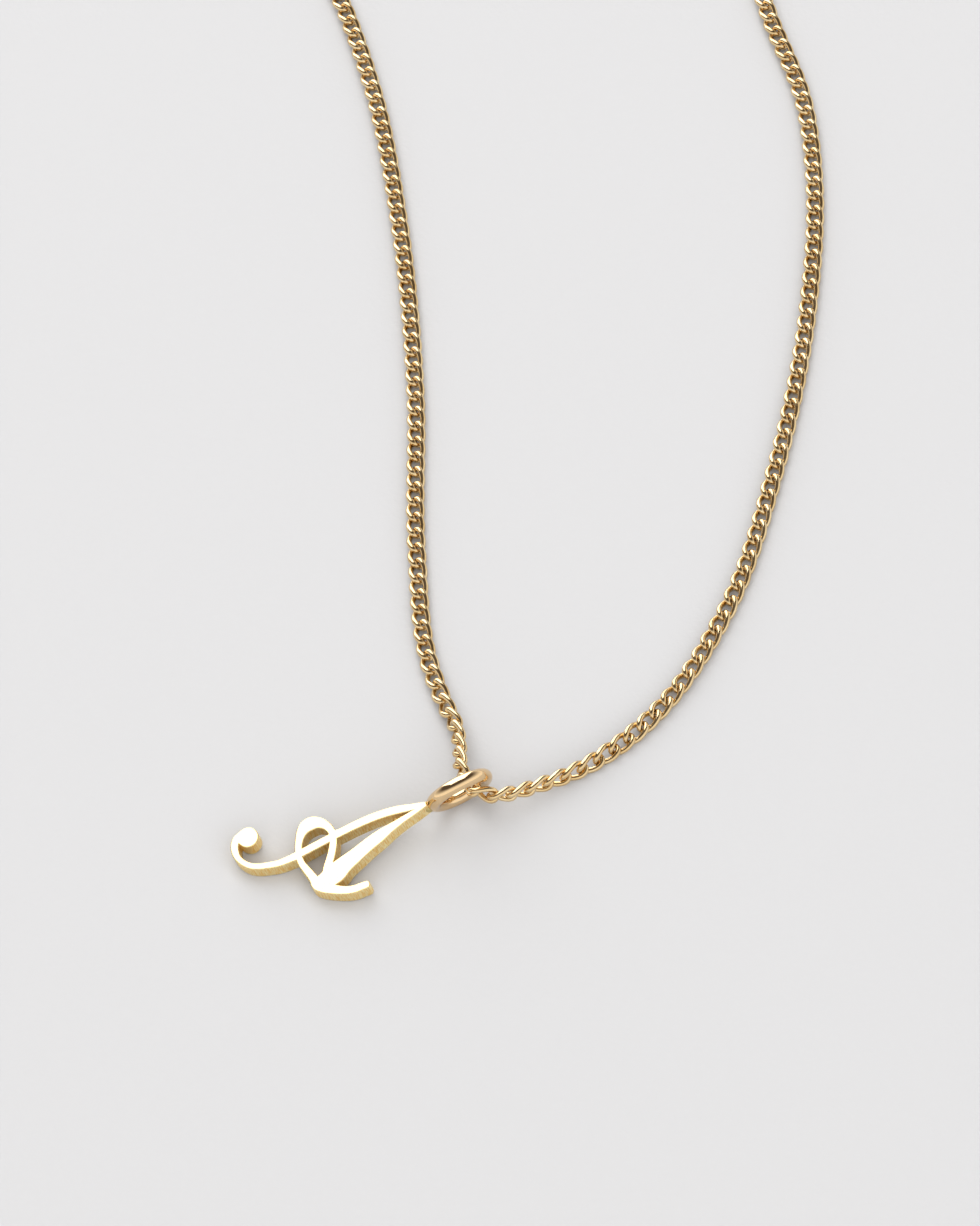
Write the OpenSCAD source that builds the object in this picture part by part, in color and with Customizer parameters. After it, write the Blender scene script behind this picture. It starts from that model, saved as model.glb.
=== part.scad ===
// Initial pendant necklace: a cast script letter on a soldered ring, threaded on a fine curb chain.
// Millimetres. The floor is z = 0, the neck loop lies around the origin, and the pendant is at its -Y end.

/* [Letter] */
// Height of the letter, from its apex to the foot of its hook
letter_h = 13.5; // [12:0.1:18]
// Width of the letter, from its ball to its tail
letter_w = 8.4; // [7.4:0.1:11]
// Thickness of the cast letter
plate_t = 1.25; // [0.9:0.05:1.6]
// Width of a hairline stroke
hairline_w = 0.6; // [0.45:0.01:0.7]
// Greatest width of the shaded stem
stem_w = 1.55; // [1.1:0.05:1.9]
// Diameter of the ball that ends the hook
ball_d = 1.5; // [1.2:0.05:1.9]

/* [Pendant ring] */
// Outer diameter of the ring
ring_od = 5; // [4.6:0.1:6]
// Diameter of the ring's wire
ring_wire = 1; // [0.7:0.05:1.1]
// Lean of the ring from square with the letter, in degrees
ring_lean = 14; // [0:1:25]
// Diameter of the solder bead between ring and letter
solder_d = 0.85; // [0.7:0.05:1.1]

/* [Curb chain] */
// Width across a link
chain_w = 1.38; // [1.1:0.02:1.6]
// Thickness of the chain where it lies flat
chain_t = 0.84; // [0.6:0.01:1]

/* [Clasp] */
// Outer diameter of the clasp ring
clasp_od = 5.5; // [5:0.1:6.5]
// Diameter of the clasp's tube
clasp_wire = 1.2; // [1:0.05:1.4]
// Outer diameter of the eye that holds the chain
eye_od = 1.7; // [1.6:0.05:2]
// Diameter of the eye's wire
eye_wire = 0.45; // [0.35:0.05:0.5]
// Length of the thumb nub past the tube
nub_h = 0.9; // [0.5:0.1:1.4]
// Diameter of the thumb nub
nub_d = 0.8; // [0.5:0.1:1]
// Sideways lean of the clasp where it lies, in degrees
clasp_lean = 14; // [10:1:18]
// Outer diameter of the end ring that the clasp holds
end_ring_od = 4; // [3.8:0.1:4.6]
// Diameter of the end ring's wire
end_ring_wire = 0.45; // [0.35:0.05:0.5]
// Sideways lean of the end ring where it lies, in degrees
end_ring_lean = 31; // [28:1:34]
// Gap between clasp and end ring where they hang together
gap = 0.3; // [0.2:0.02:0.4]

/* [Hidden] */

// Strokes of the letter, a row for each bend of the pen, in shares of the named sizes:
// [across, in letter widths right of the apex, down, in letter heights, stroke width, in full widths]
HAIRLINE = [
    [-0.539, 0.907, 1.00],
    [-0.525, 0.944, 1.00],
    [-0.487, 0.967, 1.00],
    [-0.430, 0.980, 0.92],
    [-0.373, 0.982, 0.80],
    [-0.312, 0.970, 0.75],
    [-0.258, 0.947, 0.77],
    [-0.221, 0.917, 0.80],
    [-0.184, 0.867, 0.83],
    [-0.153, 0.811, 0.87],
    [-0.140, 0.748, 0.95],
    [-0.138, 0.630, 0.98],
    [-0.136, 0.481, 1.00],
    [-0.131, 0.370, 1.05],
    [-0.102, 0.222, 1.05],
    [-0.071, 0.148, 1.03],
    [-0.033, 0.081, 0.87],
    [ 0.002, 0.007, 0.57]];
STEM = [
    [0.003, 0.007, 0.22],
    [0.016, 0.074, 0.27],
    [0.028, 0.148, 0.32],
    [0.041, 0.222, 0.44],
    [0.061, 0.296, 0.60],
    [0.083, 0.370, 0.65],
    [0.112, 0.444, 0.72],
    [0.138, 0.519, 0.84],
    [0.166, 0.578, 1.00],
    [0.178, 0.637, 0.84],
    [0.161, 0.689, 0.45]];
RIBBON = [
    [ 0.143, 0.630, 0.92],
    [ 0.086, 0.600, 1.03],
    [ 0.023, 0.564, 1.03],
    [-0.029, 0.539, 1.00],
    [-0.086, 0.516, 0.97],
    [-0.149, 0.500, 0.93],
    [-0.206, 0.499, 0.97],
    [-0.258, 0.510, 1.10],
    [-0.304, 0.533, 1.37],
    [-0.333, 0.572, 1.70],
    [-0.330, 0.604, 1.63],
    [-0.301, 0.636, 1.30],
    [-0.255, 0.661, 1.03],
    [-0.195, 0.685, 0.93],
    [-0.132, 0.701, 0.87],
    [-0.057, 0.707, 0.88],
    [ 0.000, 0.702, 0.95],
    [ 0.063, 0.694, 1.03],
    [ 0.120, 0.689, 1.10],
    [ 0.184, 0.687, 1.33],
    [ 0.241, 0.659, 1.33],
    [ 0.287, 0.626, 1.20],
    [ 0.327, 0.593, 1.10],
    [ 0.358, 0.559, 1.03],
    [ 0.377, 0.526, 1.00],
    [ 0.383, 0.496, 0.97],
    [ 0.390, 0.469, 0.92],
    [ 0.393, 0.453, 0.73],
    [ 0.395, 0.447, 0.33]];
// Centre of the ball, in the same shares
BALL = [-0.493, 0.889];

// The way of the chain round the loop, chosen by hand; its two ends follow the eye and the end ring:
// [x, y, lift off the floor, turn of the links about their line, in degrees from lying flat]
ROUTE = [
    [-9, 45.7, 0.25, 0],
    [-13, 44.1, 0, 0],
    [-22.5, 37.4, 0, 0],
    [-31.3, 24.6, 0, 0],
    [-35.6, 9.5, 0, 0],
    [-35.3, -6, 0, 0],
    [-30.2, -20.5, 0, 0],
    [-22, -36, 0, 0],
    [-16.6, -50, 0, 0],
    [-15.1, -64, 0, 0],
    [-15.8, -77.5, 0, 0],
    [-17.9, -93, 0, 0],
    [-20.7, -106.5, 0, 0],
    [-21.8, -116, 0, 10],
    [-21.5, -119.5, 0, 35],
    [-21.1, -122, 0.3, 60],
    [-21.3, -124.3, 0.8, 60],
    [-21.5, -125.7, 1.25, 65],
    [-21.3, -127.6, 1.45, 65],
    [-20.6, -128.5, 1.25, 90],
    [-18.9, -128.7, 0.8, 100],
    [-16.8, -128.4, 0.4, 95],
    [-14.2, -127.9, 0.1, 75],
    [-10.3, -126.4, 0, 35],
    [-6.4, -123.8, 0, 0],
    [-1, -118, 0, 0],
    [5.3, -107.2, 0, 0],
    [11, -94, 0, 0],
    [14.3, -82.5, 0, 0],
    [15.2, -76, 0, 0],
    [14.7, -66, 0, 0],
    [15.5, -55.5, 0, 0],
    [20.3, -42, 0, 0],
    [29, -25.5, 0, 0],
    [35.4, -8, 0, 0],
    [35.2, 11, 0, 0],
    [28, 30, 0, 0],
    [14, 42.6, 0, 20],
    [7.5, 45.5, 0.15, 50]];
// Lift and turn of the links at the eye and at the end ring
AT_EYE = [0.65, -15];
AT_END_RING = [0.45, 75];
// Tube rings on each stretch between two of those points, and sides of the tube
route_steps = 2;
tube_sides = 8;

// Where the pendant's ring and the clasp lie, and the way that the letter points from foot to apex,
// in degrees from +X
ring_at = [-22, -128];
clasp_spot = [-2.2, 46];
letter_heading = 11.5;
stroke_steps = 4;
round_fn = 64;

function unit(v) = v / norm(v);
function spot(row) = [row[0], row[1], row[2]];

// A smooth curve through rows that start with x, y and z, its slope at each row weighed by the distances
function reach(rows, i) = norm(spot(rows[i + 1]) - spot(rows[i]));
function climb(rows, i) = (rows[i + 1] - rows[i]) / reach(rows, i);
function slope(rows, i) =
    i == 0 ? climb(rows, 0)
    : i == len(rows) - 1 ? climb(rows, i - 1)
    : (climb(rows, i - 1) * reach(rows, i) + climb(rows, i) * reach(rows, i - 1))
        / (reach(rows, i - 1) + reach(rows, i));
function between(rows, i, t) =
    rows[i] * (1 + 2 * t) * pow(1 - t, 2) + slope(rows, i) * reach(rows, i) * t * pow(1 - t, 2)
    + rows[i + 1] * (3 - 2 * t) * pow(t, 2) - slope(rows, i + 1) * reach(rows, i) * (1 - t) * pow(t, 2);
function curve(rows, steps) = [
    for (i = [0 : len(rows) - 2], k = [0 : steps - 1]) between(rows, i, k / steps),
    rows[len(rows) - 1]];
// Half the height of the chain at a turn of its links, which is what lifts its line off the floor
function lying(turn) = norm([chain_w / 2 * sin(turn), chain_t / 2 * cos(turn)]);
function heading(line, i) = unit(spot(line[min(i + 1, len(line) - 1)]) - spot(line[max(i - 1, 0)]));

// Outline of a pen stroke: its curve, set off by half its width to the left and back on the right
function stroke_line(table, full_w) =
    curve([for (row = table) [row[0] * letter_w, -row[1] * letter_h, 0, row[2] * full_w]], stroke_steps);
function beside(line, i, side) =
    let (way = heading(line, i), half = side * line[i][3] / 2)
    [line[i][0] - way[1] * half, line[i][1] + way[0] * half];
function outline(line) = concat(
    [for (i = [0 : len(line) - 1]) beside(line, i, 1)],
    [for (i = [len(line) - 1 : -1 : 0]) beside(line, i, -1)]);
hairline_outline = outline(stroke_line(HAIRLINE, hairline_w));
stem_outline = outline(stroke_line(STEM, stem_w));
ribbon_outline = outline(stroke_line(RIBBON, hairline_w));
ball_at = [BALL[0] * letter_w, -BALL[1] * letter_h];

// The ring bites into the apex, and its plane leans about the letter's length
ring_bite = 0.15;
ring_r = (ring_od - ring_wire) / 2;
ring_centre = [0, ring_od / 2 - ring_bite, plate_t / 2];
ring_axis = [cos(ring_lean), 0, -sin(ring_lean)];

// The pendant lies face up on three points: the back edge of its hook, that of its tail, and its ring
function farthest(points, way) = let (reaches = [for (p = points) p * way], most = max(reaches))
    [for (i = [0 : len(points) - 1]) if (reaches[i] == most) points[i]][0];
function clockwise(v) = [v[1], -v[0]];
function feet(way, tries) =
    let (hook = farthest(hairline_outline, way), tail = farthest(ribbon_outline, way))
    tries == 0 ? [hook, tail] : feet(unit(clockwise(tail - hook)), tries - 1);
foot_tries = 4;
feet_at = feet([1, -1], foot_tries);
foot_line = unit(feet_at[1] - feet_at[0]);
ring_side = [-foot_line[1], foot_line[0], 0];
hook_foot = [feet_at[0][0], feet_at[0][1], 0];
function up_at(tilt) = [0, 0, cos(tilt)] + ring_side * sin(tilt);
function ring_height(up) = (ring_centre - hook_foot) * up
    - ring_r * sqrt(1 - pow(ring_axis * up, 2)) - ring_wire / 2;
function rest_tilt(low, high, tries) = let (middle = (low + high) / 2)
    tries == 0 ? middle
    : ring_height(up_at(middle)) < 0 ? rest_tilt(middle, high, tries - 1) : rest_tilt(low, middle, tries - 1);
steepest_rest = 40;
rest_tries = 24;
floor_up = up_at(rest_tilt(0, steepest_rest, rest_tries));
along = unit([0, 1, 0] - floor_up * floor_up[1]);
across = cross(along, floor_up);

// Clasp and end ring lie linked at the back of the loop, each leaning its own way, and the chain starts
// just past the eye and stops just short of the end ring
clasp_r = (clasp_od - clasp_wire) / 2;
end_ring_r = (end_ring_od - end_ring_wire) / 2;
eye_r = (eye_od - eye_wire) / 2;
eye_bite = 0.12;
clasp_at = [clasp_spot[0], clasp_spot[1], clasp_wire / 2 + clasp_r * sin(clasp_lean)];
end_ring_at = [
    clasp_at[0] + clasp_r + end_ring_r - (clasp_wire + end_ring_wire) / 2 - gap,
    clasp_at[1],
    end_ring_wire / 2 + end_ring_r * sin(end_ring_lean)];
eye_gap = 0.27;
end_gap = 0.5;
whole_route = concat(
    [[clasp_at[0] - clasp_od / 2 - eye_od + eye_bite - eye_gap, clasp_at[1], AT_EYE[0], AT_EYE[1]]],
    ROUTE,
    [[end_ring_at[0] + end_ring_od / 2 + end_gap, end_ring_at[1], AT_END_RING[0], AT_END_RING[1]]]);
nub_heading = 125;
wire_fn = 32;

module gold() { color("#d9b36a") children(); }

module hoop(r, wire) { rotate_extrude($fn = round_fn) translate([r, 0]) circle(d = wire, $fn = wire_fn); }

// The letter lies with its back on z = 0 and its apex at the origin
module letter() {
    linear_extrude(plate_t) {
        polygon(hairline_outline);
        polygon(stem_outline);
        polygon(ribbon_outline);
        translate(ball_at) circle(d = ball_d, $fn = round_fn);
    }
}

module pendant_ring() {
    translate(ring_centre) rotate([0, 90 + ring_lean, 0]) hoop(ring_r, ring_wire);
    translate([0, 0, plate_t / 2]) sphere(d = solder_d, $fn = wire_fn);
}

module pendant() {
    gold()
    translate([ring_at[0], ring_at[1], -hook_foot * floor_up])
    rotate([0, 0, letter_heading - 90])
    multmatrix([
        [across[0], across[1], across[2], -ring_centre * across],
        [along[0], along[1], along[2], -ring_centre * along],
        [floor_up[0], floor_up[1], floor_up[2], 0],
        [0, 0, 0, 1]])
    {
        letter();
        pendant_ring();
    }
}

// The chain's space: an oval tube as wide and as thick as the links, turned as they turn
module chain() {
    line = [for (row = curve(whole_route, route_steps))
        [row[0], row[1], max(0, row[2]) + lying(row[3]), row[3]]];
    level = [for (i = [0 : len(line) - 1]) unit(cross([0, 0, 1], heading(line, i)))];
    upright = [for (i = [0 : len(line) - 1]) cross(heading(line, i), level[i])];
    points = [for (i = [0 : len(line) - 1], k = [0 : tube_sides - 1])
        let (
            a = k * 360 / tube_sides,
            turn = line[i][3],
            wide = chain_w / 2 * cos(a),
            thick = chain_t / 2 * sin(a))
        spot(line[i]) + level[i] * (wide * cos(turn) - thick * sin(turn))
            + upright[i] * (wide * sin(turn) + thick * cos(turn))];
    last = (len(line) - 1) * tube_sides;
    faces = concat(
        [[for (k = [0 : tube_sides - 1]) k]],
        [for (i = [0 : len(line) - 2], k = [0 : tube_sides - 1])
            let (a = i * tube_sides + k, b = i * tube_sides + (k + 1) % tube_sides)
            [a, a + tube_sides, b + tube_sides, b]],
        [[for (k = [tube_sides - 1 : -1 : 0]) last + k]]);
    gold() polyhedron(points, faces);
}

module clasp() {
    gold() translate(clasp_at) rotate([-clasp_lean, 0, 0]) {
        hoop(clasp_r, clasp_wire);
        translate([-clasp_od / 2 - eye_od / 2 + eye_bite, 0, 0]) rotate([90 + clasp_lean, 0, 0])
            hoop(eye_r, eye_wire);
        rotate([0, 0, nub_heading]) translate([clasp_r, 0, 0]) rotate([0, 90, 0])
            cylinder(d = nub_d, h = clasp_wire / 2 + nub_h, $fn = wire_fn);
    }
}

module end_ring() {
    gold() translate(end_ring_at) rotate([end_ring_lean, 0, 0]) hoop(end_ring_r, end_ring_wire);
}

pendant();
chain();
clasp();
end_ring();
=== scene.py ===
import math

import bmesh
import bpy
from mathutils import Matrix, Vector


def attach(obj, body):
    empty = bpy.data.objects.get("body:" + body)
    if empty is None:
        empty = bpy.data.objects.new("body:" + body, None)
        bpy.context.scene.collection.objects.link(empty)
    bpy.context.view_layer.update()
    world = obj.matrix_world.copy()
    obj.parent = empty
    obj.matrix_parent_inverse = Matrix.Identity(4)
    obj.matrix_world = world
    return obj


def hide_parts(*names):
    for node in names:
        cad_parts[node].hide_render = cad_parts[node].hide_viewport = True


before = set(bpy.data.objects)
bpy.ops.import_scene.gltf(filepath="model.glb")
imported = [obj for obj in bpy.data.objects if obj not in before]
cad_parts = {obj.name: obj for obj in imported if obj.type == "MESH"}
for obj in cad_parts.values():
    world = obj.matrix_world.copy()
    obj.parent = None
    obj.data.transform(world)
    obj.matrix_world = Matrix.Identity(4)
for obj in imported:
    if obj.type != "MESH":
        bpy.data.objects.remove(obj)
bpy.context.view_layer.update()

# The pendant: a copperplate A cast in yellow gold, its face ground flat and buffed and its walls left
# as cast, with a round ring of bright wire. A bead of solder joins the two at the letter's apex,
# so all three are one piece of metal.
MM = 0.001
LETTER_T = 1.25 * MM
LETTER_HEADING = math.radians(11.5)
RIM = 0.06 * MM
RIM_STEPS = 3
SHORTEST_EDGE = 0.04 * MM
RING_SPOT = Vector((-22, -128, 2.376)) * MM
RING_OD = 5 * MM
RING_WIRE = 1 * MM
RING_LEAN = math.radians(14)
RING_BENDS = 96
RING_SIDES = 32
# How deep the apex sits in the ring's wire, and the bead of solder round the joint
RING_BITE = 0.15 * MM
SOLDER_D = 0.85 * MM
# Blebs that the mould left in the narrow angle under the apex: place from the apex in mm, size in mm
# and turn in degrees
CASTING_BLEBS = [
    (-0.03, -1.62, 0.28, 0.11, 20),
    (0, -1.88, 0.14, 0.13, -35),
    (-0.09, -2.06, 0.32, 0.11, 60),
    (-0.08, -2.28, 0.12, 0.14, 10),
    (-0.17, -2.45, 0.3, 0.1, -50),
    (-0.19, -2.66, 0.1, 0.12, 35)]
BLEB_SHAPE = (0.8, 1.3, 1, 1)
# Edges that turn more than this stay sharp, and edges of the outline that turn less are made one
SHARP_TURN = math.radians(40)
SLIGHT_TURN = math.radians(1)
# Corners of the solid this near to each other are one, and those this near to the face's level are on it
SAME_CORNER = 0.0001 * MM
SAME_LEVEL = 0.001 * MM
# Cosines of a normal's lean from straight up, or from the letter's face: a top, a wall, a true flat
TOP_LEAN = 0.9
WALL_LEAN = 0.3
FLAT_LEAN = 0.9999


def linear(hex_colour):
    """An sRGB hex colour as the linear RGBA that a shader socket takes."""
    shares = [int(hex_colour[i:i + 2], 16) / 255 for i in (1, 3, 5)]
    return [s / 12.92 if s <= 0.04045 else ((s + 0.055) / 1.055) ** 2.4 for s in shares] + [1]


def add(material, kind, settings=None, links=None, stops=()):
    """Adds a shader node: settings are its properties or socket values, links its sockets' sources,
    and stops the places and hex colours of a ramp."""
    node = material.node_tree.nodes.new(kind)
    for name, value in (settings or {}).items():
        if isinstance(name, str) and hasattr(node, name):
            setattr(node, name, value)
        else:
            node.inputs[name].default_value = value
    for name, source in (links or {}).items():
        material.node_tree.links.new(source, node.inputs[name])
    for stop, (place, colour) in enumerate(stops):
        node.color_ramp.elements[stop].position = place
        node.color_ramp.elements[stop].color = linear(colour)
    return node


def new_metal(name, colour, roughness):
    """A metal of a hex colour and a roughness: the material, its shader, and the place on the piece."""
    material = bpy.data.materials.new(name)
    material.use_nodes = True
    shader = material.node_tree.nodes["Principled BSDF"]
    shader.inputs["Metallic"].default_value = 1
    shader.inputs["Base Color"].default_value = linear(colour)
    shader.inputs["Roughness"].default_value = roughness
    where = add(material, "ShaderNodeTexCoord").outputs["Object"]
    return material, shader, where


def turn_by(angle, axis):
    """A turn about one of the main axes."""
    return Matrix.Rotation(angle, 4, axis)


def wire_ring(middle_r, wire, bends, sides):
    """A closed ring of round wire about Z."""
    ring = bmesh.new()
    bmesh.ops.create_circle(ring, segments=sides, radius=wire / 2,
                            matrix=Matrix.Translation((middle_r, 0, 0)) @ turn_by(math.pi / 2, "X"))
    bmesh.ops.spin(ring, geom=ring.edges[:], cent=(0, 0, 0), axis=(0, 0, 1), angle=2 * math.pi,
                   steps=bends, use_merge=True)
    bmesh.ops.recalc_face_normals(ring, faces=ring.faces)
    return ring


def join(bm, part, place, finish=0):
    """Adds a part to a piece at its place, in one of its materials, smooth but for its sharp edges."""
    for face in part.faces:
        face.smooth = True
        face.material_index = finish
    for edge in part.edges:
        edge.smooth = edge.calc_face_angle(0) < SHARP_TURN
    mesh = bpy.data.meshes.new("part")
    part.to_mesh(mesh)
    part.free()
    mesh.transform(place)
    bm.from_mesh(mesh)
    bpy.data.meshes.remove(mesh)


def finish_piece(name, bm, materials):
    """Makes a piece of a bmesh, with its materials, on the one body."""
    mesh = bpy.data.meshes.new(name)
    bm.to_mesh(mesh)
    bm.free()
    for material in materials:
        mesh.materials.append(material)
    piece = bpy.data.objects.new(name, mesh)
    bpy.context.scene.collection.objects.link(piece)
    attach(piece, "root")
    return piece


# The letter: the outline of the solid's top face, given its thickness and its rounded rims
FACE, WALL, RING, SOLDER = range(4)
cast = bmesh.new()
cast.from_mesh(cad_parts["pendant"].data)
bmesh.ops.remove_doubles(cast, verts=cast.verts, dist=SAME_CORNER)
tops = [face for face in cast.faces if face.normal.z > TOP_LEAN]
largest = max(tops, key=lambda face: face.calc_area())
face_up = largest.normal.copy()
face_level = largest.verts[0].co.dot(face_up)
elsewhere = [face for face in cast.faces
             if any(abs(corner.co.dot(face_up) - face_level) > SAME_LEVEL for corner in face.verts)]
bmesh.ops.delete(cast, geom=elsewhere, context="FACES")
bmesh.ops.remove_doubles(cast, verts=cast.verts, dist=SHORTEST_EDGE)
bmesh.ops.dissolve_limit(cast, angle_limit=SLIGHT_TURN, verts=cast.verts, edges=cast.edges)
walls_and_back = bmesh.ops.extrude_face_region(cast, geom=list(cast.faces))["geom"]
back = [part for part in walls_and_back if isinstance(part, bmesh.types.BMVert)]
bmesh.ops.translate(cast, verts=back, vec=-face_up * LETTER_T)
bmesh.ops.recalc_face_normals(cast, faces=cast.faces)
for face in cast.faces:
    face.material_index = WALL if abs(face.normal.dot(face_up)) < WALL_LEAN else FACE
rims = [edge for edge in cast.edges if len({face.material_index for face in edge.link_faces}) == 2]
rounded = set(bmesh.ops.bevel(cast, geom=rims, offset=RIM, offset_type="OFFSET", affect="EDGES",
                              segments=RIM_STEPS, profile=0.5, material=-1,
                              clamp_overlap=False)["faces"])
for face in cast.faces:
    lean = abs(face.normal.dot(face_up))
    face.smooth = lean < FLAT_LEAN
    face.material_index = WALL if lean < WALL_LEAN else FACE
for edge in cast.edges:
    at_rim = len([face for face in edge.link_faces if face in rounded])
    edge.smooth = at_rim != 1 and edge.calc_face_angle(0) < SHARP_TURN

# Ring, bead and blebs are made in the letter's own frame, its face along Z and its apex at the origin
heading = Vector((math.cos(LETTER_HEADING), math.sin(LETTER_HEADING), 0))
apex_way = (heading - Vector((0, 0, 1)) * heading.dot(face_up) / face_up.z).normalized()
letter_place = Matrix((apex_way.cross(face_up), apex_way, face_up)).transposed().to_4x4()
ring_at = Vector((0, RING_OD / 2 - RING_BITE, 0))
letter_place.translation = RING_SPOT - letter_place.to_3x3() @ ring_at
ring = wire_ring((RING_OD - RING_WIRE) / 2, RING_WIRE, RING_BENDS, RING_SIDES)
ring_place = Matrix.Translation(ring_at) @ turn_by(math.pi / 2 + RING_LEAN, "Y")
join(cast, ring, letter_place @ ring_place, RING)
bead = bmesh.new()
bmesh.ops.create_icosphere(bead, subdivisions=3, radius=SOLDER_D / 2)
join(cast, bead, letter_place, SOLDER)
for x, y, z, size, turn in CASTING_BLEBS:
    bleb = bmesh.new()
    bmesh.ops.create_icosphere(bleb, subdivisions=2, radius=size * MM)
    bleb_place = Matrix.Translation(Vector((x, y, z)) * MM) @ turn_by(math.radians(turn), "Z")
    join(cast, bleb, letter_place @ bleb_place @ Matrix.Diagonal(BLEB_SHAPE), WALL)

# Buffed face: a soft wheel leaves a near mirror, with faint waves that blur what it mirrors
BUFF_WAVE = 0.7 * MM
BUFF_DEPTH = 0.004 * MM
buffed_gold, shader, where = new_metal("yellow gold, buffed", "#f2dca4", 0.18)
waves = add(buffed_gold, "ShaderNodeTexNoise", {"Scale": 1 / BUFF_WAVE, "Detail": 2}, {"Vector": where})
relief = add(buffed_gold, "ShaderNodeBump", {"Distance": BUFF_DEPTH}, {"Height": waves.outputs["Fac"]})
buffed_gold.node_tree.links.new(relief.outputs["Normal"], shader.inputs["Normal"])

# Cast walls: satin, with the upright lines that the mould left and a fine grain over them. The real
# ones are finer, and both are drawn as coarse as they need to be to show. The lines also carry painted
# light in the colour: pale cream on some as a painted highlight and deeper gold on others as painted
# shade. The colour as a whole is also made paler, as painted light for the light that the walls catch.
CAST_LINE = (0.08 * MM, 0.08 * MM, 0.8 * MM)
CAST_GRAIN = 0.06 * MM
GRAIN_SHARE = 0.4
CAST_DEPTH = 0.02 * MM
cast_gold, shader, where = new_metal("yellow gold, as cast", "#f9dd94", 0.48)
upright = add(cast_gold, "ShaderNodeMapping",
              {"vector_type": "TEXTURE", "Rotation": face_up.to_track_quat("Z", "Y").to_euler(),
               "Scale": CAST_LINE},
              {"Vector": where})
lines = add(cast_gold, "ShaderNodeTexNoise", {"Scale": 1, "Detail": 2},
            {"Vector": upright.outputs["Vector"]})
grain = add(cast_gold, "ShaderNodeTexNoise", {"Scale": 1 / CAST_GRAIN, "Detail": 2}, {"Vector": where})
rough_cast = add(cast_gold, "ShaderNodeMath", {"operation": "MULTIPLY_ADD", 1: GRAIN_SHARE},
                 {0: grain.outputs["Fac"], 2: lines.outputs["Fac"]})
relief = add(cast_gold, "ShaderNodeBump", {"Distance": CAST_DEPTH},
             {"Height": rough_cast.outputs["Value"]})
cast_gold.node_tree.links.new(relief.outputs["Normal"], shader.inputs["Normal"])
# Painted light: this ramp colours the mould lines with pale cream painted highlights and deeper gold
# painted shade
shade = add(cast_gold, "ShaderNodeValToRGB", {}, {"Fac": lines.outputs["Fac"]},
            [(0.3, "#f2c870"), (0.68, "#fff0bc")])
cast_gold.node_tree.links.new(shade.outputs["Color"], shader.inputs["Base Color"])

# Ring wire: drawn, bent and tumbled until it mirrors, a shade rosier than the casting, with slight
# dents from the tumbling that make its reflections waver
TUMBLE_DENT = 0.9 * MM
TUMBLE_DEPTH = 0.01 * MM
bright_wire, shader, where = new_metal("yellow gold wire, tumbled", "#e6c79a", 0.1)
dents = add(bright_wire, "ShaderNodeTexNoise", {"Scale": 1 / TUMBLE_DENT, "Detail": 1},
            {"Vector": where})
relief = add(bright_wire, "ShaderNodeBump", {"Distance": TUMBLE_DEPTH},
             {"Height": dents.outputs["Fac"]})
bright_wire.node_tree.links.new(relief.outputs["Normal"], shader.inputs["Normal"])

# Solder: flowed from a paler alloy, dull and a little green, pitted where the flux burned off
SOLDER_PIT = 0.15 * MM
PIT_DEPTH = 0.03 * MM
solder, shader, where = new_metal("gold solder, pickled", "#c2b07a", 0.32)
pits = add(solder, "ShaderNodeTexNoise", {"Scale": 1 / SOLDER_PIT, "Detail": 2}, {"Vector": where})
relief = add(solder, "ShaderNodeBump", {"Distance": PIT_DEPTH}, {"Height": pits.outputs["Fac"]})
solder.node_tree.links.new(relief.outputs["Normal"], shader.inputs["Normal"])

pendant = finish_piece("letter_on_ring", cast, [buffed_gold, cast_gold, bright_wire, solder])
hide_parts("pendant")

# The chain: fine curb links of drawn gold wire, each bent to an oval, soldered shut and twisted so that
# all lie flat in a row, then tumbled bright. Each link hooks through the next, the first through the
# clasp's eye and the last round the end ring, and the row passes through the pendant's ring.
CHAIN_W = 1.38 * MM
CHAIN_T = 0.84 * MM
LINK_COUNT = 307
LINK_PITCH = 1.323 * MM
LINK_WIRE = 0.4 * MM
LINK_W = 1.44 * MM
# A link is longer than the pitch and its wire by the slack in its hooks, and twisted at either end
LINK_SLACK = 0.16 * MM
LINK_TWIST = math.radians(-55)
# Below 1, a link's two sides run straighter and its ends are squarer than an oval's
SQUARENESS = 0.85
LINK_BENDS = 12
LINK_SIDES = 6
# Subdividing thins the wire and draws a bend's corners in, so both are made larger before it
SUBDIVIDED_WIRE = 1.25
CORNER_OVERSHOOT = 0.125
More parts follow.
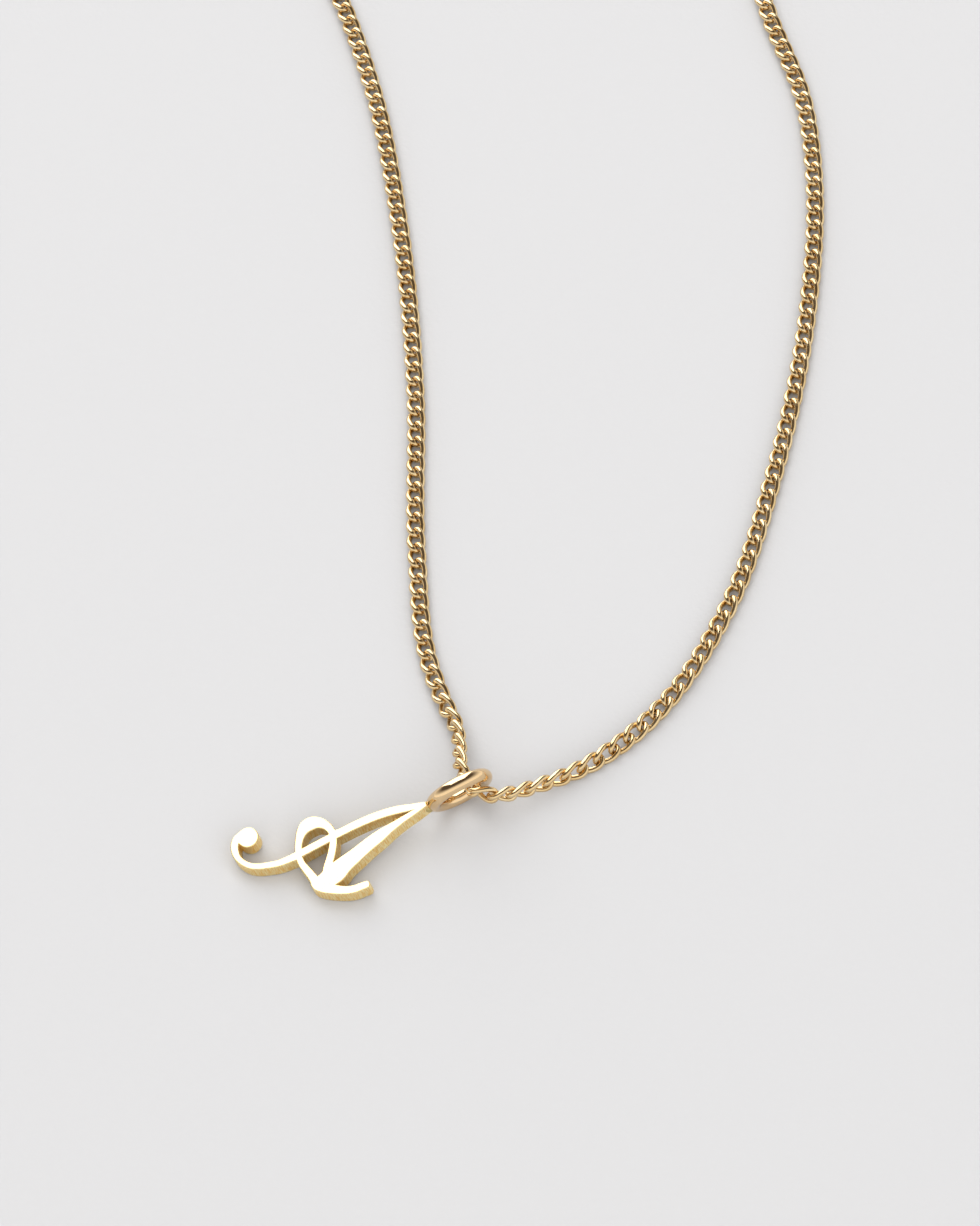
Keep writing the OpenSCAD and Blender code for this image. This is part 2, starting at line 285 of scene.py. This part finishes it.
# The chain's middle line: where it hooks through the eye and round the end ring, and between them
# places by x and y in mm, lift off the floor in mm, and turn on edge in degrees
FIRST_HOOK = Vector((-5.9, 46, 1.12)) * MM
LAST_HOOK = Vector((1.94, 46, 1.14)) * MM
ROUTE = [
    (-6.8, 46, 0.65, -15),
    (-9, 45.7, 0.25, 0),
    (-13, 44.1, 0, 0),
    (-22.5, 37.4, 0, 0),
    (-31.3, 24.6, 0, 0),
    (-35.6, 9.5, 0, 0),
    (-35.3, -6, 0, 0),
    (-30.2, -20.5, 0, 0),
    (-22, -36, 0, 0),
    (-16.6, -50, 0, 0),
    (-15.1, -64, 0, 0),
    (-15.8, -77.5, 0, 0),
    (-17.9, -93, 0, 0),
    (-20.7, -106.5, 0, 0),
    (-21.8, -116, 0, 10),
    (-21.5, -119.5, 0, 35),
    (-21.1, -122, 0.3, 60),
    (-21.3, -124.3, 0.8, 60),
    (-21.5, -125.7, 1.25, 65),
    (-21.3, -127.6, 1.45, 65),
    (-20.6, -128.5, 1.25, 90),
    (-18.9, -128.7, 0.8, 100),
    (-16.8, -128.4, 0.4, 95),
    (-14.2, -127.9, 0.1, 75),
    (-10.3, -126.4, 0, 35),
    (-6.4, -123.8, 0, 0),
    (-1, -118, 0, 0),
    (5.3, -107.2, 0, 0),
    (11, -94, 0, 0),
    (14.3, -82.5, 0, 0),
    (15.2, -76, 0, 0),
    (14.7, -66, 0, 0),
    (15.5, -55.5, 0, 0),
    (20.3, -42, 0, 0),
    (29, -25.5, 0, 0),
    (35.4, -8, 0, 0),
    (35.2, 11, 0, 0),
    (28, 30, 0, 0),
    (14, 42.6, 0, 20),
    (7.5, 45.5, 0.15, 50),
    (3.1, 46, 0.45, 75)]
ROUTE_STEPS = 40
# Both searches halve their range this often, and the one for the pitch looks this far either way
HALVINGS = 20
PITCH_LEEWAY = 0.02


def smooth_way(rows, steps):
    """The same curve through the rows as the solid's, at a number of places between each two."""
    rows = [Vector(row) for row in rows]
    reach = [(b.xyz - a.xyz).length for a, b in zip(rows, rows[1:])]
    climb = [(b - a) / r for a, b, r in zip(rows, rows[1:], reach)]
    slope = [climb[0]]
    for i in range(1, len(rows) - 1):
        slope.append((climb[i - 1] * reach[i] + climb[i] * reach[i - 1]) / (reach[i - 1] + reach[i]))
    slope.append(climb[-1])
    way = []
    for i, length in enumerate(reach):
        for k in range(steps):
            t = k / steps
            way.append(rows[i] * (1 + 2 * t) * (1 - t) ** 2 + slope[i] * length * t * (1 - t) ** 2
                       + rows[i + 1] * (3 - 2 * t) * t ** 2 - slope[i + 1] * length * (1 - t) * t ** 2)
    return way + [rows[-1]]


def chain_line():
    """Points of the chain's middle line, raised by half the links' height, with the turn at each."""
    line = []
    for x, y, lift, turn in smooth_way(ROUTE, ROUTE_STEPS):
        turn = math.radians(turn)
        lying = math.hypot(CHAIN_W / 2 * math.sin(turn), CHAIN_T / 2 * math.cos(turn))
        line.append((Vector((x * MM, y * MM, max(0, lift) * MM + lying)), turn))
    return [(FIRST_HOOK, line[0][1])] + line + [(LAST_HOOK, line[-1][1])]


def hooks_along(line, step):
    """Places where link meets link, each the same straight distance from the last, with the turn."""
    hooks = [line[0]]
    for (start, start_turn), (end, end_turn) in zip(line, line[1:]):
        while (end - hooks[-1][0]).length >= step:
            low, high = 0.0, 1.0
            for _ in range(HALVINGS):
                middle = (low + high) / 2
                if (start.lerp(end, middle) - hooks[-1][0]).length < step:
                    low = middle
                else:
                    high = middle
            hooks.append((start.lerp(end, high), start_turn * (1 - high) + end_turn * high))
    return hooks


def share_out(line, count, step):
    """The hooks of a number of links that take up a whole line, by trying steps near the one stated."""
    low, high = step * (1 - PITCH_LEEWAY), step * (1 + PITCH_LEEWAY)
    for _ in range(HALVINGS):
        middle = (low + high) / 2
        if len(hooks_along(line, middle)) > count:
            low = middle
        else:
            high = middle
    return hooks_along(line, low)


def wire_middle(t):
    """The middle of a link's wire at an angle round the link, whose long way is along X."""
    along = math.copysign(abs(math.cos(t)) ** SQUARENESS, math.cos(t))
    across = (LINK_W - LINK_WIRE) / 2 * math.copysign(abs(math.sin(t)) ** SQUARENESS, math.sin(t))
    x = (LINK_PITCH + LINK_WIRE + LINK_SLACK) / 2 * along
    turn = LINK_TWIST * along
    return Vector((x, across * math.cos(turn), across * math.sin(turn)))


def wire_corner(t):
    """The same, overshot by as much as subdividing draws a corner back toward its neighbours."""
    step = 2 * math.pi / LINK_BENDS
    neighbours = wire_middle(t - step) + wire_middle(t + step)
    return wire_middle(t) * (1 + 2 * CORNER_OVERSHOOT) - neighbours * CORNER_OVERSHOOT


# One link: a plain ring of wire, bent to the link's own middle line, whose heading at each corner is
# taken from a little before it to a little past it, in radians round the ring
PLAIN_R = 1 * MM
LOOK_AHEAD = 0.1
link = wire_ring(PLAIN_R, LINK_WIRE * SUBDIVIDED_WIRE, LINK_BENDS, LINK_SIDES)
for corner in link.verts:
    t = math.atan2(corner.co.y, corner.co.x)
    across = math.hypot(corner.co.x, corner.co.y) - PLAIN_R
    ahead = (wire_middle(t + LOOK_AHEAD) - wire_middle(t - LOOK_AHEAD)).normalized()
    outward = wire_middle(t) - ahead * wire_middle(t).dot(ahead)
    outward.normalize()
    corner.co = wire_corner(t) + outward * across + outward.cross(ahead) * corner.co.z
bmesh.ops.recalc_face_normals(link, faces=link.faces)
for face in link.faces:
    face.smooth = True
link_mesh = bpy.data.meshes.new("link")
link.to_mesh(link_mesh)
link.free()

# The row: a link from each hook to the next, turned with the line and lifted clear of the floor
hooks = share_out(chain_line(), LINK_COUNT, LINK_PITCH)
wire_angles = [math.radians(angle) for angle in range(0, 360, 10)]
links = bmesh.new()
for (start, start_turn), (end, end_turn) in zip(hooks, hooks[1:]):
    ahead = (end - start).normalized()
    turn = (start_turn + end_turn) / 2
    level = Vector((0, 0, 1)).cross(ahead).normalized()
    wide = level * math.cos(turn) + ahead.cross(level) * math.sin(turn)
    place = Matrix((ahead, wide, ahead.cross(wide))).transposed().to_4x4()
    place.translation = (start + end) / 2
    lowest = min((place @ wire_middle(t)).z for t in wire_angles) - LINK_WIRE / 2
    place.translation.z += max(0, -lowest)
    known = len(links.verts)
    links.from_mesh(link_mesh)
    links.verts.ensure_lookup_table()
    bmesh.ops.transform(links, matrix=place, verts=links.verts[known:])
bpy.data.meshes.remove(link_mesh)

# Link wire: the ring's alloy, tumbled nearly as bright, its tone a little different from link to link,
# with shallow rub marks where links have run on each other
LINK_TONE = 1.5 * MM
LINK_RUB = 0.3 * MM
RUB_DEPTH = 0.008 * MM
link_gold, shader, where = new_metal("yellow gold links, tumbled", "#e2c795", 0.16)
tone = add(link_gold, "ShaderNodeTexNoise", {"Scale": 1 / LINK_TONE, "Detail": 1}, {"Vector": where})
shade = add(link_gold, "ShaderNodeValToRGB", {}, {"Fac": tone.outputs["Fac"]},
            [(0.3, "#dabb87"), (0.7, "#e9d0a2")])
link_gold.node_tree.links.new(shade.outputs["Color"], shader.inputs["Base Color"])
rub = add(link_gold, "ShaderNodeTexNoise", {"Scale": 1 / LINK_RUB, "Detail": 1}, {"Vector": where})
relief = add(link_gold, "ShaderNodeBump", {"Distance": RUB_DEPTH}, {"Height": rub.outputs["Fac"]})
link_gold.node_tree.links.new(relief.outputs["Normal"], shader.inputs["Normal"])

chain = finish_piece("curb_chain", links, [link_gold])
rounder = chain.modifiers.new("round wire", "SUBSURF")
rounder.levels = 1
rounder.render_levels = 1
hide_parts("chain")

# The clasp: a ring clasp of bent gold tube, with the eye that holds the chain soldered on one side and
# the thumb nub of its bolt on the other. Two fine seams show where the bolt's end meets the tube.
CLASP_AT = Vector((-2.2, 46, 1.12)) * MM
CLASP_OD = 5.5 * MM
CLASP_WIRE = 1.2 * MM
CLASP_LEAN = math.radians(-14)
CLASP_BENDS = 96
CLASP_SIDES = 24
EYE_OD = 1.7 * MM
EYE_WIRE = 0.45 * MM
EYE_BITE = 0.12 * MM
EYE_BENDS = 48
EYE_SIDES = 16
EYE_JOINT_R = 0.28 * MM
NUB_D = 0.8 * MM
NUB_H = 0.9 * MM
NUB_HEADING = math.radians(125)
NUB_SIDES = 24
NUB_ROUND = NUB_D / 4
NUB_ROUND_STEPS = 4
SEAM_HEADINGS = (math.radians(60), math.radians(105))
# A seam takes this share of the wire's thickness off, on the corners at its own heading in radians
SEAM_DEPTH = 0.07
SAME_HEADING = 0.001


def cut_seam(ring, middle_r, heading, depth):
    """Draws the wire in a little at one place round a ring about Z, where two ends meet."""
    middle = Vector((math.cos(heading), math.sin(heading))) * middle_r
    nearest = min(ring.verts, key=lambda corner: (corner.co.xy - middle).length).co
    seam = math.atan2(nearest.y, nearest.x)
    for corner in ring.verts:
        if abs(math.atan2(corner.co.y, corner.co.x) - seam) < SAME_HEADING:
            core = Vector((corner.co.x, corner.co.y, 0)).normalized() * middle_r
            corner.co = core + (corner.co - core) * (1 - depth)


clasp_mesh = bmesh.new()
clasp_place = Matrix.Translation(CLASP_AT) @ turn_by(CLASP_LEAN, "X")
tube_r = (CLASP_OD - CLASP_WIRE) / 2
tube = wire_ring(tube_r, CLASP_WIRE, CLASP_BENDS, CLASP_SIDES)
for seam in SEAM_HEADINGS:
    cut_seam(tube, tube_r, seam, SEAM_DEPTH)
join(clasp_mesh, tube, clasp_place)
nub = bmesh.new()
nub_length = CLASP_WIRE / 2 + NUB_H
bmesh.ops.create_cone(nub, cap_ends=True, segments=NUB_SIDES, radius1=NUB_D / 2, radius2=NUB_D / 2,
                      depth=nub_length)
nub_top = [edge for edge in nub.edges if min(corner.co.z for corner in edge.verts) > 0]
bmesh.ops.bevel(nub, geom=nub_top, offset=NUB_ROUND, offset_type="OFFSET", affect="EDGES",
                segments=NUB_ROUND_STEPS, profile=0.5, material=-1, clamp_overlap=True)
nub_out = Matrix.Translation((0, 0, tube_r + nub_length / 2))
nub_place = turn_by(NUB_HEADING, "Z") @ turn_by(math.pi / 2, "Y") @ nub_out
join(clasp_mesh, nub, clasp_place @ nub_place)
eye = wire_ring((EYE_OD - EYE_WIRE) / 2, EYE_WIRE, EYE_BENDS, EYE_SIDES)
eye_at = Matrix.Translation((-CLASP_OD / 2 - EYE_OD / 2 + EYE_BITE, 0, 0))
join(clasp_mesh, eye, clasp_place @ eye_at @ turn_by(math.pi / 2 - CLASP_LEAN, "X"))
solder_joint = bmesh.new()
bmesh.ops.create_icosphere(solder_joint, subdivisions=3, radius=EYE_JOINT_R)
join(clasp_mesh, solder_joint, clasp_place @ Matrix.Translation((-CLASP_OD / 2, 0, 0)))
clasp = finish_piece("ring_clasp", clasp_mesh, [link_gold])
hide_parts("clasp")

# The end ring: a plain jump ring of the same gold wire as the clasp's eye, bent round and closed with
# a butt seam. It hangs in the clasp, and the chain's last link hooks round it.
END_RING_AT = Vector((0.6, 46, 1.139)) * MM
END_RING_OD = 4 * MM
END_RING_WIRE = 0.45 * MM
END_RING_LEAN = math.radians(31)
END_RING_SEAM = math.radians(-60)
END_RING_BENDS = 72
END_RING_SIDES = 16
end_ring_mesh = bmesh.new()
end_ring_r = (END_RING_OD - END_RING_WIRE) / 2
round_wire = wire_ring(end_ring_r, END_RING_WIRE, END_RING_BENDS, END_RING_SIDES)
cut_seam(round_wire, end_ring_r, END_RING_SEAM, SEAM_DEPTH)
join(end_ring_mesh, round_wire, Matrix.Translation(END_RING_AT) @ turn_by(END_RING_LEAN, "X"))
end_ring = finish_piece("closed_end_ring", end_ring_mesh, [link_gold])
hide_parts("end_ring")

# The floor: a plain board of pressed paper that the necklace lies on, matt, with the faintest tooth.
# It is a mid grey, because the studio light brings it to a pale tone.
FLOOR_REACH = 3
PAPER_TOOTH = 0.4 * MM
TOOTH_DEPTH = 0.02 * MM
paper = bpy.data.materials.new("matt paper board")
paper.use_nodes = True
shader = paper.node_tree.nodes["Principled BSDF"]
shader.inputs["Base Color"].default_value = linear("#b1b1b2")
shader.inputs["Roughness"].default_value = 0.9
where = add(paper, "ShaderNodeTexCoord").outputs["Object"]
tooth = add(paper, "ShaderNodeTexNoise", {"Scale": 1 / PAPER_TOOTH, "Detail": 2}, {"Vector": where})
relief = add(paper, "ShaderNodeBump", {"Distance": TOOTH_DEPTH}, {"Height": tooth.outputs["Fac"]})
paper.node_tree.links.new(relief.outputs["Normal"], shader.inputs["Normal"])
board = bmesh.new()
bmesh.ops.create_grid(board, x_segments=1, y_segments=1, size=FLOOR_REACH)
board_mesh = bpy.data.meshes.new("floor")
board.to_mesh(board_mesh)
board.free()
board_mesh.materials.append(paper)
floor = bpy.data.objects.new("floor", board_mesh)
bpy.context.scene.collection.objects.link(floor)

# Studio light: a tall softbox behind the pendant that reaches overhead, and a wide scrim above that
# softens the shadows and is kept out of the metal's reflections. Sizes and distances are in metres.
PENDANT_SPOT = Vector((-28, -128, 2)) * MM
SOFTBOX_WAY = Vector((-0.1, 0.78, 0.62))
SOFTBOX_DISTANCE = 1.0
SOFTBOX_SIZE = (1.0, 1.6)
SOFTBOX_POWER = 15
SCRIM_WAY = Vector((0.1, -0.5, 0.85))
SCRIM_DISTANCE = 1.2
SCRIM_SIZE = (2.2, 2.2)
SCRIM_POWER = 28


def hang_lamp(name, way, distance, size, power):
    """An area lamp that faces the pendant from one way, and that the camera doesn't see."""
    panel = bpy.data.lights.new(name, "AREA")
    panel.shape = "RECTANGLE"
    panel.size, panel.size_y = size
    panel.energy = power
    lamp = bpy.data.objects.new(name, panel)
    lamp.location = PENDANT_SPOT + way.normalized() * distance
    lamp.rotation_euler = way.to_track_quat("Z", "Y").to_euler()
    lamp.visible_camera = False
    bpy.context.scene.collection.objects.link(lamp)
    return lamp


hang_lamp("softbox", SOFTBOX_WAY, SOFTBOX_DISTANCE, SOFTBOX_SIZE, SOFTBOX_POWER)
scrim = hang_lamp("scrim", SCRIM_WAY, SCRIM_DISTANCE, SCRIM_SIZE, SCRIM_POWER)
scrim.visible_glossy = False

# The room round it: pale walls, low and toward the camera, that go over into a dark ceiling. The share
# runs from 0 on the dark side to 1 on the pale one.
PALE_SIDE = (0.1, -0.35, -0.9)
ROOM_GLOW = 1.35
room = bpy.data.worlds.new("studio room")
room.use_nodes = True
around = add(room, "ShaderNodeTexCoord").outputs["Generated"]
lowness = add(room, "ShaderNodeVectorMath", {"operation": "DOT_PRODUCT", 1: PALE_SIDE}, {0: around})
share = add(room, "ShaderNodeMath", {"operation": "MULTIPLY_ADD", 1: 0.5, 2: 0.5},
            {0: lowness.outputs["Value"]})
walls = add(room, "ShaderNodeValToRGB", {}, {"Fac": share.outputs["Value"]},
            [(0.18, "#524b46"), (0.4, "#f0efee")])
backdrop = room.node_tree.nodes["Background"]
backdrop.inputs["Strength"].default_value = ROOM_GLOW
room.node_tree.links.new(walls.outputs["Color"], backdrop.inputs["Color"])
bpy.context.scene.world = room
bpy.context.scene.view_settings.view_transform = "Standard"

# Camera: the photograph's angle, 57 degrees down on the pendant with 14 degrees of roll. The frame's
# height and the focal length are in the photograph's pixels, the sensor in mm, the clips in metres.
CAMERA_SPOT = Vector((-24.45, -375.12, 379.12)) * MM
CAMERA_RIGHT = Vector((0.9684249, -0.21373149, -0.12834356))
CAMERA_DOWN = Vector((-0.24874911, -0.79401152, -0.55467971))
FRAME_H = 1226
FOCAL_PX = 6570
SENSOR_H = 36
NEAR_CLIP = 0.01
FAR_CLIP = 10
lens = bpy.data.cameras.new("camera")
lens.sensor_fit = "VERTICAL"
lens.sensor_height = SENSOR_H
lens.lens = FOCAL_PX / FRAME_H * SENSOR_H
lens.clip_start = NEAR_CLIP
lens.clip_end = FAR_CLIP
camera = bpy.data.objects.new("camera", lens)
facing = Matrix((CAMERA_RIGHT, -CAMERA_DOWN, CAMERA_RIGHT.cross(-CAMERA_DOWN))).transposed()
camera.matrix_world = Matrix.Translation(CAMERA_SPOT) @ facing.to_4x4()
bpy.context.scene.collection.objects.link(camera)
bpy.context.scene.camera = camera
